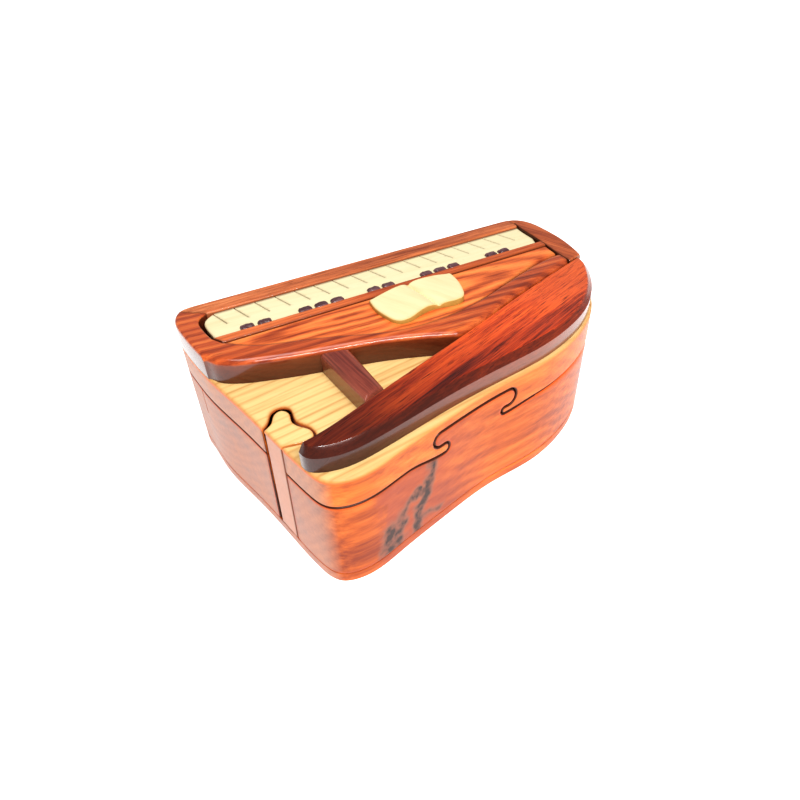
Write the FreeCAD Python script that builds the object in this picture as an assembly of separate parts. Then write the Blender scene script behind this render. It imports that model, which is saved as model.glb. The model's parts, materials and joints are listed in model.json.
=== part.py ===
import FreeCAD, Part
import os

os.makedirs("parts", exist_ok=True)
V = FreeCAD.Vector

# A hand-cut wooden secret box shaped like a grand piano, seen in plan as
# X along the keyboard, +Y towards the keyboard, Z up.  Outlines are drawn about
# DRAWN_CENTRE; saved pieces are moved so that the origin is the middle of the
# footprint, on the table.

# ---- heights (mm) ----
PLATE_TOP = 4.0          # glued bottom plate
CORE_TOP = 42.8          # orange core of the lid
FACE_TOP = 44.0          # pale maple skin of the lid
TRIM = 9.0               # thickness of the glued-on trim pieces
TRIM_TOP = FACE_TOP + TRIM
BED_TOP = FACE_TOP + 6.5
KEYS_TOP = FACE_TOP + 8.0
DESK_TOP = FACE_TOP + 8.6
SLIP_TOP = FACE_TOP + 9.2
PIANO_LID_TOP = FACE_TOP + 8.2
PROP_TOP = FACE_TOP + 7.6
BOOK_TOP = DESK_TOP + 2.6
DRAWN_CENTRE = (0.5, 0.6)

# ---- jigsaw cut between body and lid, drawn in the XZ plane ----
KERF = 0.3               # half-open saw line round the hooks
LEFT_SEAM = 33.5         # level seam left of the hooks
RIGHT_SEAM = 32.0        # level seam right of the hooks
TAB_TOP = 40.0           # top of the tab that stands up from the body
LEFT_TOE = (-21.8, 32.5, 2.0)      # x, z, radius of the lid's left toe
LEFT_HEAD = (-23.6, 37.25, 2.75)   # rounded left shoulder of the tab
RIGHT_HEAD = (6.7, 36.85, 3.15)    # rounded right shoulder of the tab
RIGHT_TOE = (5.3, 32.2, 1.5)       # the lid's right toe
SEAM_DIP_X = -38.0       # where the left seam starts to dip
SEAM_RISE_X = 20.0       # where the right seam is level again

SLIT = (27.6, 0.5, 11.0, 0.8)      # y, width, height, depth of the old saw slit

# ---- outlines in plan (x, y); every one is a smooth hand-sanded curve ----
SIDE = [(-70, 52.8), (-77, 51.2), (-79.6, 46.6), (-80, 37), (-77.7, 18),
        (-73.4, -3), (-69, -27), (-66.2, -41), (-63, -48.6), (-56.5, -51.4),
        (-42, -49.3), (-20, -43.7), (2, -39.1), (22, -36.5), (40, -31.1),
        (57, -21.4), (69.3, -8.4), (77, 8), (80.9, 24), (81.7, 36),
        (80.9, 45.4), (77.4, 50.8), (70, 52.8)]
# the walls lean in a little under the bends: the same curve at table level
FOOT = [(-66, 52.6), (-76, 50.6), (-80, 44.5), (-80.4, 35), (-79.1, 18),
        (-74.6, -3), (-69.9, -27), (-67, -41.3), (-63.3, -49), (-56.5, -51.4),
        (-42, -49), (-20, -43.4), (2, -39), (22, -37.2), (40, -31.6),
        (55.5, -22.4), (67.2, -9.6), (74.6, 8), (78.9, 24), (79.9, 36),
        (79, 45), (75.4, 50.4), (68, 52.6)]
CAVITY = [(-58, 42), (-64.5, 38), (-65, 24), (-60, 6), (-50, -8), (-47.5, -27),
          (-40, -37.5), (-20, -33.5), (8, -28.5), (34, -21.5), (54, -9),
          (65, 9), (69.5, 30), (66, 40), (58, 42)]
KEY = [(-71.9, -20.2), (-69.2, -18.9), (-67.2, -17.2), (-65.3, -14.1), (-62.7, -13.1),
       (-61, -15.3), (-61.6, -19.7), (-60.3, -23.4), (-58.2, -26.6),
       (-58.9, -30), (-62.3, -30.4), (-66.2, -29.5), (-71, -28.6)]
KEYHOLE = [(-71.9, -18.6), (-68.8, -16.9), (-66.9, -14.2), (-65.2, -11.9), (-62.4, -11.1),
           (-60.2, -12.7), (-60.2, -17.3), (-60.2, -20.6), (-58.4, -23.8),
           (-57.4, -27.6), (-58.4, -30.7), (-62.3, -30.95), (-66.2, -30), (-71, -29.1)]

# left cheek and front band: the inner edge follows the key recess and desk
RECESS_END = [(-68.6, 44), (-71.8, 41.2), (-72.8, 35), (-71.6, 25.4)]
DESK_EDGE = [(-69, 20.9), (-61, 14), (-48, 8.6), (-33, 2.6), (-15, -4.6), (1, -5.8),
             (19, -2.8), (32, 1.8), (44, 6.2), (54, 9.6), (62, 11.6), (70.6, 12.6)]
BAND_FRONT = [(-77.2, 16), (-75, 12.2), (-71.5, 8.9), (-61, 4.2), (-50, 0.6), (-37, -2.8),
              (-24, -6.3), (-11, -11.2), (1, -17)]
BAND_RIGHT = [(1, -17), (5, -16.4), (25, -9.2), (45, -2.4), (62, 2.8), (70.6, 5.2)]
CHEEK_IN = [(74.2, 47), (72.8, 39.5), (72.1, 32.5), (71.2, 25), (70, 17.5), (69, 11),
            (68.6, 4.4)]
LID_FAR = [(-66.4, -39.6), (-61.5, -38.7), (-55, -37), (-44.4, -33.4), (-20, -25.1),
           (0, -18.6), (24, -10.2), (48, -2), (76.6, 6.6)]
LID_RIGHT = [(76.6, 6.6), (75.3, 1.5), (72.4, -3.4), (68.2, -9), (61.4, -16.2), (50.6, -24.4),
             (38, -30.3), (24, -34.4), (4, -37.2), (-14, -39.7), (-32, -43.2), (-45, -45.8),
             (-54, -46.8), (-61.8, -45.4), (-65.8, -42.4), (-66.4, -39.6)]
BOOK = [(-15.2, 17.6), (-16, 11), (-15.2, 4.5), (-12.8, -1), (-9.8, -1.8), (-4.2, -0.2),
        (0, 0.9), (4.5, 0.7), (10, -0.6), (13.8, 0), (17.6, 5.2), (20.1, 12), (21.2, 19.4)]
BOOK_BACK = [(21.2, 19.4), (15, 20.5), (9, 20.6), (2.2, 20.6), (-4, 19.8), (-15.2, 17.6)]

# ---- keyboard ----
BOARD_NEAR = 25.4
BOARD_FAR = 44.0
WHITE_PITCH = 8.0
WHITE_FIRST = -66.5
WHITE_LINES = 17
BLACK_PITCH = 6.4
BLACK_GROUPS = [(-58.5, 2), (-36.5, 3), (-8.4, 2), (15.1, 3), (46.6, 2)]
BLACK_SIZE = (5.2, 3.4, 1.3)
BLACK_Y = 27.3


def spline(points, z, first=None, last=None, like=None):
    """Smooth edge through plan points at height z, with optional end directions."""
    pts = [V(x, y, z) for x, y in points]
    marks = [V(x, y, z) for x, y in like or points]
    runs = [0.0]
    for a, b in zip(marks, marks[1:]):
        runs.append(runs[-1] + (b - a).Length)
    curve = Part.BSplineCurve()
    if first:
        curve.interpolate(Points=pts, Parameters=runs, InitialTangent=V(*first),
                          FinalTangent=V(*last), Scale=False)
    else:
        curve.interpolate(Points=pts, Parameters=runs)
    return curve.toShape()


def straight(points, z):
    """Straight edges joining plan points at height z."""
    pts = [V(x, y, z) for x, y in points]
    return [Part.makeLine(a, b) for a, b in zip(pts, pts[1:])]


def block(edges, z0, z1):
    """Upright solid standing on a closed loop of edges drawn at height z0."""
    face = Part.Face(Part.Wire(Part.__sortEdges__(edges)))
    return face.extrude(V(0, 0, z1 - z0))


def outline(z, points=SIDE):
    """Plan of the box: a straight back and one flowing curve round the rest."""
    side = spline(points, z, (-1, 0, 0), (-1, 0, 0), SIDE)
    back = straight([points[-1], points[0]], z)
    return [side] + back


def leaning_block(z0, z1):
    """The box between two heights, its walls leaning from the foot to the lid."""
    foot = Part.Wire(Part.__sortEdges__(outline(0, FOOT)))
    head = Part.Wire(Part.__sortEdges__(outline(FACE_TOP)))
    whole = Part.makeLoft([foot, head], True, True)
    return whole.common(Part.makeBox(240, 180, z1 - z0, V(-120, -90, z0)))


def box_block(z0, z1, soft=0.0):
    """The footprint as a solid, with a softened top edge."""
    body = block(outline(z0), z0, z1)
    if soft:
        rim = [e for e in body.Edges if abs(e.BoundBox.ZMin - z1) < 1e-6
               and abs(e.BoundBox.ZMax - z1) < 1e-6]
        body = body.makeFillet(soft, rim)
    return body


def soften_top(body, z1, radius, keep=None):
    """Round over the top edges of one piece, all of them or the ones picked."""
    rim = [e for e in body.Edges if abs(e.BoundBox.ZMin - z1) < 1e-4
           and abs(e.BoundBox.ZMax - z1) < 1e-4]
    if keep:
        rim = [e for e in rim if keep(e)]
    try:
        out = body.makeFillet(radius, rim)
        if out.isValid() and out.Volume > 0.5 * body.Volume:
            return out
    except Part.OCCError:
        pass
    print("not rounded", radius, len(rim))
    return body


def on_curve(edge, *outlines):
    """True when the edge starts on one of the outlines' end points."""
    ends = [p for line in outlines for p in (line[0], line[-1])]
    tips = [edge.Vertexes[0].Point, edge.Vertexes[-1].Point]
    return all(any(abs(t.x - x) + abs(t.y - y) < 0.01 for x, y in ends) for t in tips)


def arc(centre, radius, start, mid, end):
    """Half round in the XZ plane; the three marks are unit directions."""
    cx, cz = centre
    at = [V(cx + radius * dx, 0, cz + radius * dz) for dx, dz in (start, mid, end)]
    return Part.Arc(*at).toShape()


def seam(gap):
    """The jigsaw line in the XZ plane, opened upwards by gap round the hooks."""
    up, down, left, right = (0, 1), (0, -1), (-1, 0), (1, 0)
    ltx, ltz, ltr = LEFT_TOE
    lhx, lhz, lhr = LEFT_HEAD
    rhx, rhz, rhr = RIGHT_HEAD
    rtx, rtz, rtr = RIGHT_TOE
    toe_l, head_l = ltr - gap, lhr + gap
    toe_r, head_r = rtr - gap, rhr + gap
    marks = [V(-90, 0, LEFT_SEAM), V(SEAM_DIP_X, 0, LEFT_SEAM)]
    edges = [Part.makeLine(*marks)]

    def ease(a, b):
        curve = Part.BSplineCurve()
        mid = V((a.x + b.x) / 2, 0, (a.z + b.z) / 2)
        curve.interpolate(Points=[a, mid, b], InitialTangent=V(1, 0, 0), FinalTangent=V(1, 0, 0))
        return curve.toShape()

    edges.append(ease(V(SEAM_DIP_X, 0, LEFT_SEAM), V(ltx, 0, ltz - toe_l)))
    edges.append(arc((ltx, ltz), toe_l, down, right, up))
    edges.append(Part.makeLine(V(ltx, 0, ltz + toe_l), V(lhx, 0, lhz - head_l)))
    edges.append(arc((lhx, lhz), head_l, down, left, up))
    edges.append(Part.makeLine(V(lhx, 0, lhz + head_l), V(rhx, 0, rhz + head_r)))
    edges.append(arc((rhx, rhz), head_r, up, right, down))
    edges.append(Part.makeLine(V(rhx, 0, rhz - head_r), V(rtx, 0, rtz + toe_r)))
    edges.append(arc((rtx, rtz), toe_r, up, left, down))
    edges.append(ease(V(rtx, 0, rtz - toe_r), V(SEAM_RISE_X, 0, RIGHT_SEAM)))
    edges.append(Part.makeLine(V(SEAM_RISE_X, 0, RIGHT_SEAM), V(90, 0, RIGHT_SEAM)))
    return edges


def seam_block(gap, side):
    """Everything above (side=+1) or below (side=-1) the jigsaw line."""
    far = 70.0 if side > 0 else -10.0
    frame = [Part.makeLine(V(90, 0, RIGHT_SEAM), V(90, 0, far)),
             Part.makeLine(V(90, 0, far), V(-90, 0, far)),
             Part.makeLine(V(-90, 0, far), V(-90, 0, LEFT_SEAM))]
    face = Part.Face(Part.Wire(seam(gap) + frame))
    face.translate(V(0, -60, 0))
    return face.extrude(V(0, 120, 0))


def across_wall(points, z0, z1):
    """A jigsaw plug: smooth inner edge, closed off outside the left wall."""
    outer = [points[-1], (-84, points[-1][1]), (-84, points[0][1]), points[0]]
    return block([spline(points, z0)] + straight(outer, z0), z0, z1)


def save(name, shape):
    solids = shape.Solids
    body = max(solids, key=lambda s: s.Volume)
    if len(solids) > 1:
        print("extra bits in", name, [round(s.Volume, 3) for s in solids])
    if not body.isValid():
        print("bad shape", name)
    body = body.translated(V(-DRAWN_CENTRE[0], -DRAWN_CENTRE[1], 0))
    body.exportStep("parts/%s.step" % name)
    box = body.BoundBox
    print("%-16s %8.0f mm3  x %.1f..%.1f y %.1f..%.1f z %.2f..%.2f" %
          (name, body.Volume, box.XMin, box.XMax, box.YMin, box.YMax, box.ZMin, box.ZMax))


# ---- box body: bottom plate and the ring of wall cut out of one block ----
plate = leaning_block(0, PLATE_TOP)
foot = [e for e in plate.Edges if e.BoundBox.ZMax < 1e-6]
plate = plate.makeFillet(0.6, foot)
save("base_plate", plate)

keyhole = across_wall(KEYHOLE, 0.0, 60.0)
cavity_edges = [spline(CAVITY, 0, (-1, 0, 0), (-1, 0, 0))]
cavity_edges += straight([CAVITY[-1], CAVITY[0]], 0)
cavity = block(cavity_edges, 0, 60)
shell = leaning_block(PLATE_TOP, CORE_TOP).common(seam_block(0.0, -1))
shell = shell.cut(cavity).cut(keyhole)
# the saw that cut the hollow went in through the left wall; its slit was glued
# shut and shows as a short shallow line
slit = Part.makeBox(8, SLIT[1], SLIT[2], V(-84, SLIT[0], LEFT_SEAM - SLIT[2]))
inner = leaning_block(0, CORE_TOP).translated(V(SLIT[3], 0, 0))
shell = shell.cut(slit.cut(inner))
save("body_shell", shell)

# ---- lid: stained core with the hooks underneath, pale skin on top ----
core = leaning_block(20, CORE_TOP).common(seam_block(KERF, 1)).cut(keyhole)
save("lid_core", core)
skin = box_block(CORE_TOP, FACE_TOP, 0.9)
save("lid_face", skin.cut(keyhole))

# ---- key: one plug right through lid and wall, down to the bottom plate ----
key = across_wall(KEY, 0.0, 60.0)
save("key_core", leaning_block(PLATE_TOP, CORE_TOP).common(key))
save("key_face", skin.common(key))

# ---- trim glued on the lid ----
trim = box_block(FACE_TOP, TRIM_TOP, 1.2)
z = FACE_TOP

cheek = block([spline(CHEEK_IN, z)] + straight([CHEEK_IN[-1], (86, 9.6), (86, 60), (74.2, 60),
                                                CHEEK_IN[0]], z), z, TRIM_TOP + 5)
save("right_cheek", trim.common(cheek))

MITRE = [(-68.6, BOARD_FAR), (-86, 57.4)]
rail = block(straight([MITRE[1], MITRE[0], (80, BOARD_FAR), (80, 60), (-86, 60), MITRE[1]], z),
             z, TRIM_TOP)
save("back_rail", trim.common(rail).cut(cheek))

rim_loop = [spline(RECESS_END, z), spline(DESK_EDGE, z), spline(BAND_RIGHT, z),
            spline(BAND_FRONT, z)]
rim_loop += straight([RECESS_END[-1], DESK_EDGE[0]], z)
rim_loop += straight([DESK_EDGE[-1], BAND_RIGHT[-1]], z)
rim_loop += straight([BAND_FRONT[0], (-86, 20), MITRE[1], MITRE[0]], z)
rim_block = block(rim_loop, z, TRIM_TOP)
rim = soften_top(rim_block, TRIM_TOP, 1.6, lambda e: e.Length > 60 and on_curve(e, BAND_FRONT, BAND_RIGHT))
lid_loop = [spline(LID_FAR, z), spline(LID_RIGHT, z)]
lid_block = block(lid_loop, z, PIANO_LID_TOP)
save("cheek_and_band", rim.common(trim).cut(cheek).cut(lid_block))

# ---- music desk panel, key slip and keyboard ----
desk = block([spline(DESK_EDGE, z)] + straight([DESK_EDGE[-1], (72, 20.9), DESK_EDGE[0]], z),
             z, DESK_TOP)
desk = desk.cut(cheek)
save("music_desk", soften_top(desk, DESK_TOP, 0.6))

slip = block(straight([(-69, 20.9), (74, 20.9), (74, BOARD_NEAR), (-71.6, BOARD_NEAR),
                       (-69, 20.9)], z), z, SLIP_TOP).cut(cheek)
save("key_slip", soften_top(slip, SLIP_TOP, 0.7))

BOARD_LEFT = [(-66, BOARD_FAR), (-70.4, 40), (-71.1, 34), (-70.2, BOARD_NEAR)]
BOARD_RIGHT = [(68.4, BOARD_NEAR), (71.2, 29), (73.2, 36), (74.4, BOARD_FAR)]


def board(z0, z1, right):
    loop = [spline(BOARD_LEFT, z0)]
    loop += right
    loop += straight([BOARD_LEFT[-1], (68.4, BOARD_NEAR)], z0)
    loop += straight([(74.4, BOARD_FAR), BOARD_LEFT[0]], z0)
    return block(loop, z0, z1).cut(cheek)


square = [(68.4, BOARD_NEAR), (74.4, BOARD_NEAR), (74.4, BOARD_FAR)]
save("key_bed", board(FACE_TOP, BED_TOP, straight(square, FACE_TOP)))
whites = board(BED_TOP, KEYS_TOP, [spline(BOARD_RIGHT, BED_TOP)])
lines = []
for i in range(WHITE_LINES):
    line = Part.makeBox(0.35, 10.2, 1.0, V(-0.17, -10.2, KEYS_TOP - 0.4))
    line.rotate(V(0, 0, 0), V(0, 0, 1), 15.5)
    line.translate(V(WHITE_FIRST + i * WHITE_PITCH, BOARD_FAR + 0.1, 0))
    lines.append(line)
save("keyboard", whites.cut(Part.makeCompound(lines)))

count = 0
bx, by, bz = BLACK_SIZE
for start, number in BLACK_GROUPS:
    for i in range(number):
        count += 1
        nub = Part.makeBox(bx, by, bz, V(-bx / 2, -by / 2, 0))
        nub = nub.makeFillet(1.2, [e for e in nub.Edges if e.BoundBox.ZLength > 1])
        nub = soften_top(nub, bz, 0.6)
        nub.translate(V(start + i * BLACK_PITCH, BLACK_Y, KEYS_TOP))
        save("black_key_%02d" % count, nub)

# ---- open music book lying on the desk, with a shallow fold down the middle ----
book = block([spline(BOOK, DESK_TOP), spline(BOOK_BACK, DESK_TOP)], DESK_TOP, BOOK_TOP)
book = soften_top(book, BOOK_TOP, 0.5)
fold = Part.makeCylinder(9.0, 60, V(3.5, -30, BOOK_TOP + 8.2), V(0, 1, 0))
fold.rotate(V(2, 8, 0), V(0, 0, 1), -14)
save("music_book", book.cut(fold))

# ---- prop stick block and the open piano lid ----
prop = block(straight([(-43.6, -0.4), (-33.4, -3.2), (-33.2, -29), (-41.8, -32), (-43.6, -0.4)],
                      z), z, PROP_TOP)
prop = prop.cut(rim_block).cut(lid_block)
save("prop", soften_top(prop, PROP_TOP, 1.2, lambda e: e.BoundBox.YLength > 20))

near_edge = [e for e in lid_block.Edges if abs(e.BoundBox.ZMin - PIANO_LID_TOP) < 1e-4
             and e.BoundBox.YMin < -44]
try:
    piano_lid = lid_block.makeChamfer(2.8, 1.5, near_edge)
except Part.OCCError:
    print("lid edge left square")
    piano_lid = lid_block
save("piano_lid", piano_lid.cut(cheek.common(trim)))
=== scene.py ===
import json
import math

import bpy
import numpy as np
from mathutils import Matrix, Vector, noise
from mathutils.geometry import delaunay_2d_cdt


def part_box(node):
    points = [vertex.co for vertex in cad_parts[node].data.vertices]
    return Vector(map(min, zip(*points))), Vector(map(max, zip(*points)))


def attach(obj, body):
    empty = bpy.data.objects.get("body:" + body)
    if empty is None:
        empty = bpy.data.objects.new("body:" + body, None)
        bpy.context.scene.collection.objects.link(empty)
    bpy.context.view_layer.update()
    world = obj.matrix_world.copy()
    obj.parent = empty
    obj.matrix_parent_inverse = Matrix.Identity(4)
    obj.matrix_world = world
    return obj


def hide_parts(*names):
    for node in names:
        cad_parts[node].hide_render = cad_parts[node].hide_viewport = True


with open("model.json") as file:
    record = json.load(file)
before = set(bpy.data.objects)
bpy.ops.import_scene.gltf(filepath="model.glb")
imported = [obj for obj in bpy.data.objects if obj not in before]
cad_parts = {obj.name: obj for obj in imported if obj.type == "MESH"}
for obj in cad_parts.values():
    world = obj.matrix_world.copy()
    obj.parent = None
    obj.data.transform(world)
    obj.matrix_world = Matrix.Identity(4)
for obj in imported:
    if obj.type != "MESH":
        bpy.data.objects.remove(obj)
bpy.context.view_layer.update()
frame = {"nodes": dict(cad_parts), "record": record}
SLOT_OF = {part["node"]: part["material_slot"] for part in frame["record"]["subparts"]}

scene = bpy.context.scene

MM = 0.001
# The plan outlines are drawn about this point; the frame's origin is the middle of the footprint.
DRAWN_CENTRE = np.array((0.5, 0.6))


def low(node):
    """Height of a CAD node's underside, in mm."""
    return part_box(node)[0][2] / MM


def top(node):
    """Height of a CAD node's top, in mm."""
    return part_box(node)[1][2] / MM


PLATE_TOP = top("base_plate")
CORE_TOP = top("lid_core")
FACE_TOP = top("lid_face")
TRIM_TOP = top("back_rail")

# ---- plan outlines, in mm, along hand-sanded curves ----
SIDE = [(-70, 52.8), (-77, 51.2), (-79.6, 46.6), (-80, 37), (-77.7, 18),
        (-73.4, -3), (-69, -27), (-66.2, -41), (-63, -48.6), (-56.5, -51.4),
        (-42, -49.3), (-20, -43.7), (2, -39.1), (22, -36.5), (40, -31.1),
        (57, -21.4), (69.3, -8.4), (77, 8), (80.9, 24), (81.7, 36),
        (80.9, 45.4), (77.4, 50.8), (70, 52.8)]
FOOT = [(-66, 52.6), (-76, 50.6), (-80, 44.5), (-80.4, 35), (-79.1, 18),
        (-74.6, -3), (-69.9, -27), (-67, -41.3), (-63.3, -49), (-56.5, -51.4),
        (-42, -49), (-20, -43.4), (2, -39), (22, -37.2), (40, -31.6),
        (55.5, -22.4), (67.2, -9.6), (74.6, 8), (78.9, 24), (79.9, 36),
        (79, 45), (75.4, 50.4), (68, 52.6)]
CAVITY = [(-58, 42), (-64.5, 38), (-65, 24), (-60, 6), (-50, -8), (-47.5, -27),
          (-40, -37.5), (-20, -33.5), (8, -28.5), (34, -21.5), (54, -9),
          (65, 9), (69.5, 30), (66, 40), (58, 42)]
KEY = [(-71.9, -20.2), (-69.2, -18.9), (-67.2, -17.2), (-65.3, -14.1), (-62.7, -13.1),
       (-61, -15.3), (-61.6, -19.7), (-60.3, -23.4), (-58.2, -26.6),
       (-58.9, -30), (-62.3, -30.4), (-66.2, -29.5), (-71, -28.6)]
KEYHOLE = [(-71.9, -18.6), (-68.8, -16.9), (-66.9, -14.2), (-65.2, -11.9), (-62.4, -11.1),
           (-60.2, -12.7), (-60.2, -17.3), (-60.2, -20.6), (-58.4, -23.8),
           (-57.4, -27.6), (-58.4, -30.7), (-62.3, -30.95), (-66.2, -30), (-71, -29.1)]
RECESS_END = [(-68.6, 44), (-71.8, 41.2), (-72.8, 35), (-71.6, 25.4)]
DESK_EDGE = [(-69, 20.9), (-61, 14), (-48, 8.6), (-33, 2.6), (-15, -4.6), (1, -5.8),
             (19, -2.8), (32, 1.8), (44, 6.2), (54, 9.6), (62, 11.6), (70.6, 12.6)]
BAND_FRONT = [(-79.6, 17.4), (-77.2, 16), (-75, 12.2), (-71.5, 8.9), (-61, 4.2), (-50, 0.6),
              (-37, -2.8), (-24, -6.3), (-11, -11.2), (1, -17)]
BAND_RIGHT = [(1, -17), (5, -16.4), (25, -9.2), (45, -2.4), (62, 2.8), (70.6, 5.2)]
CHEEK_IN = [(74.2, 47), (72.8, 39.5), (72.1, 32.5), (71.2, 25), (70, 17.5), (69, 11),
            (68.6, 4.4)]
LID_FAR = [(-66.4, -39.6), (-61.5, -38.7), (-55, -37), (-44.4, -33.4), (-20, -25.1),
           (0, -18.6), (24, -10.2), (48, -2), (76.6, 6.6)]
LID_RIGHT = [(76.6, 6.6), (75.3, 1.5), (72.4, -3.4), (68.2, -9), (61.4, -16.2), (50.6, -24.4),
             (38, -30.3), (24, -34.4), (4, -37.2), (-14, -39.7), (-32, -43.2), (-45, -45.8),
             (-54, -46.8), (-61.8, -45.4), (-65.8, -42.4), (-66.4, -39.6)]
BOOK = [(-15.2, 17.6), (-16, 11), (-15.2, 4.5), (-12.8, -1), (-9.8, -1.8), (-4.2, -0.2),
        (0, 0.9), (4.5, 0.7), (10, -0.6), (13.8, 0), (17.6, 5.2), (20.1, 12), (21.2, 19.4)]
BOOK_BACK = [(21.2, 19.4), (15, 20.5), (9, 20.6), (2.2, 20.6), (-4, 19.8), (-15.2, 17.6)]
BOARD_LEFT = [(-66, 44), (-70.4, 40), (-71.1, 34), (-70.2, 25.4)]
BOARD_NEAR, BOARD_FAR, DESK_FAR = 25.4, 44.0, 20.9
MITRE_OUT = (-86, 57.4)
CHEEK_NEAR = (86, 9.6)

# ---- jigsaw cut between body and lid, in the XZ plane ----
KERF = 0.3
LEFT_SEAM, RIGHT_SEAM = 33.5, 32.0
LEFT_TOE = (-21.8, 32.5, 2.0)
LEFT_HEAD = (-23.6, 37.25, 2.75)
RIGHT_HEAD = (6.7, 36.85, 3.15)
RIGHT_TOE = (5.3, 32.2, 1.5)
SEAM_DIP_X, SEAM_RISE_X = -38.0, 20.0


class Curve:
    """Cubic curve through plan points, run by chord length, as the frame's outlines are."""

    def __init__(self, points, ends=None, like=None):
        self.p = np.array(points, float)
        marks = np.array(like or points, float)
        steps = np.linalg.norm(np.diff(marks, axis=0), axis=1)
        self.t = np.concatenate([[0.0], np.cumsum(steps)])
        h, n = steps, len(self.p)
        slope = np.diff(self.p, axis=0) / h[:, None]
        a = np.zeros((n, n))
        b = np.zeros((n, 2))
        for i in range(1, n - 1):
            a[i, i - 1:i + 2] = 1 / h[i - 1], 2 / h[i - 1] + 2 / h[i], 1 / h[i]
            b[i] = 3 * (slope[i - 1] / h[i - 1] + slope[i] / h[i])
        if ends:
            a[0, 0] = a[-1, -1] = 1
            b[0], b[-1] = ends
        else:
            a[0, :2], b[0] = (2, 1), 3 * slope[0]
            a[-1, -2:], b[-1] = (1, 2), 3 * slope[-1]
        self.m = np.linalg.solve(a, b)
        self.length = self.t[-1]

    def at(self, t):
        t = np.atleast_1d(np.asarray(t, float))
        i = np.clip(np.searchsorted(self.t, t, side="right") - 1, 0, len(self.t) - 2)
        h = (self.t[i + 1] - self.t[i])[:, None]
        k = ((t - self.t[i]) / h[:, 0])[:, None]
        p0, p1, m0, m1 = self.p[i], self.p[i + 1], self.m[i] * h, self.m[i + 1] * h
        return ((2 * k**3 - 3 * k**2 + 1) * p0 + (k**3 - 2 * k**2 + k) * m0
                + (3 * k**2 - 2 * k**3) * p1 + (k**3 - k**2) * m1)

    def run(self, a=None, b=None, step=0.8):
        """Points from parameter a to b (either way round)."""
        a = 0.0 if a is None else a
        b = self.length if b is None else b
        count = max(2, int(abs(b - a) / step) + 2)
        return self.at(np.linspace(a, b, count))

    def cross(self, a, b, near):
        """Parameter where the curve crosses the line a-b, closest to a plan point."""
        t = np.linspace(0, self.length, 4000)
        p = self.at(t)
        a, b = np.array(a, float), np.array(b, float)
        side = (p[:, 0] - a[0]) * (b[1] - a[1]) - (p[:, 1] - a[1]) * (b[0] - a[0])
        hit = np.nonzero(np.sign(side[:-1]) != np.sign(side[1:]))[0]
        best = min(hit, key=lambda i: np.hypot(*(p[i] - near)))
        share = side[best] / (side[best] - side[best + 1])
        return t[best] + share * (t[best + 1] - t[best])

    def meet(self, other, near):
        """Parameters on this curve and the other where they cross, by a plan point."""
        t = np.linspace(0, self.length, 1200)
        s = np.linspace(0, other.length, 1200)
        p, q = self.at(t), other.at(s)
        gap = np.hypot(p[:, None, 0] - q[None, :, 0], p[:, None, 1] - q[None, :, 1])
        far = np.hypot(*(p - near).T)[:, None] > 6
        i, j = np.unravel_index(np.argmin(gap + 100 * far), gap.shape)
        return t[i], s[j]


def grow(x, start, over):
    """0 up to the start, then rising to 1 over the given length."""
    return min(max((x - start) / over, 0), 1)


def line(a, b, step=0.8):
    """Points along a straight line, both ends included."""
    a, b = np.array(a, float), np.array(b, float)
    count = max(2, int(np.hypot(*(b - a)) / step) + 2)
    return a + (b - a) * np.linspace(0, 1, count)[:, None]


# ---------------------------------------------------------------- pieces from 2D sheets
def to_segments(p, a, b):
    """Distance of every point in p to the nearest of the segments a-b."""
    best = np.full(len(p), 1e9)
    ab = b - a
    size = np.maximum((ab**2).sum(1), 1e-12)
    for i in range(0, len(p), 2000):
        q = p[i:i + 2000, None, :] - a[None]
        k = np.clip((q * ab[None]).sum(2) / size, 0, 1)
        best[i:i + 2000] = np.sqrt(((q - k[..., None] * ab[None])**2).sum(2).min(1))
    return best


def inside(p, loop):
    """Which points lie inside the closed loop."""
    x, y = p[:, 0], p[:, 1]
    out = np.zeros(len(p), bool)
    for (x0, y0), (x1, y1) in zip(loop, np.roll(loop, -1, 0)):
        if y0 != y1:
            out ^= ((y0 > y) != (y1 > y)) & (x < (x1 - x0) * (y - y0) / (y1 - y0) + x0)
    return out


def width_at(width, points):
    """A width at each point, from one number or from a function of the place."""
    return np.array([width if np.isscalar(width) else width(*p) for p in points])


# where the rings of extra points run inside an edge, as shares of the eased width
BEVEL_STEPS = (0.3, 0.6, 0.85, 1.0, 1.15, 1.4)
ROUND_STEPS = [1 - math.cos(math.radians(a)) for a in (18, 36, 54, 72, 90)]
BEVEL_SOFT = 0.16  # how gently a flat bevel meets the top
GRID = 1.6  # mm between the inner points of a piece
SAME_POINT = 0.02  # mm
JOINT_SHADE_SPREAD = 0.42  # how far, in mm, the painted dark of a joint and the painted shade of its groove spread
CUT_SPREAD, CUT_HALF, CUT_DEPTH = 0.24, 0.3, 0.45  # a saw line in the surface, in mm


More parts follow.
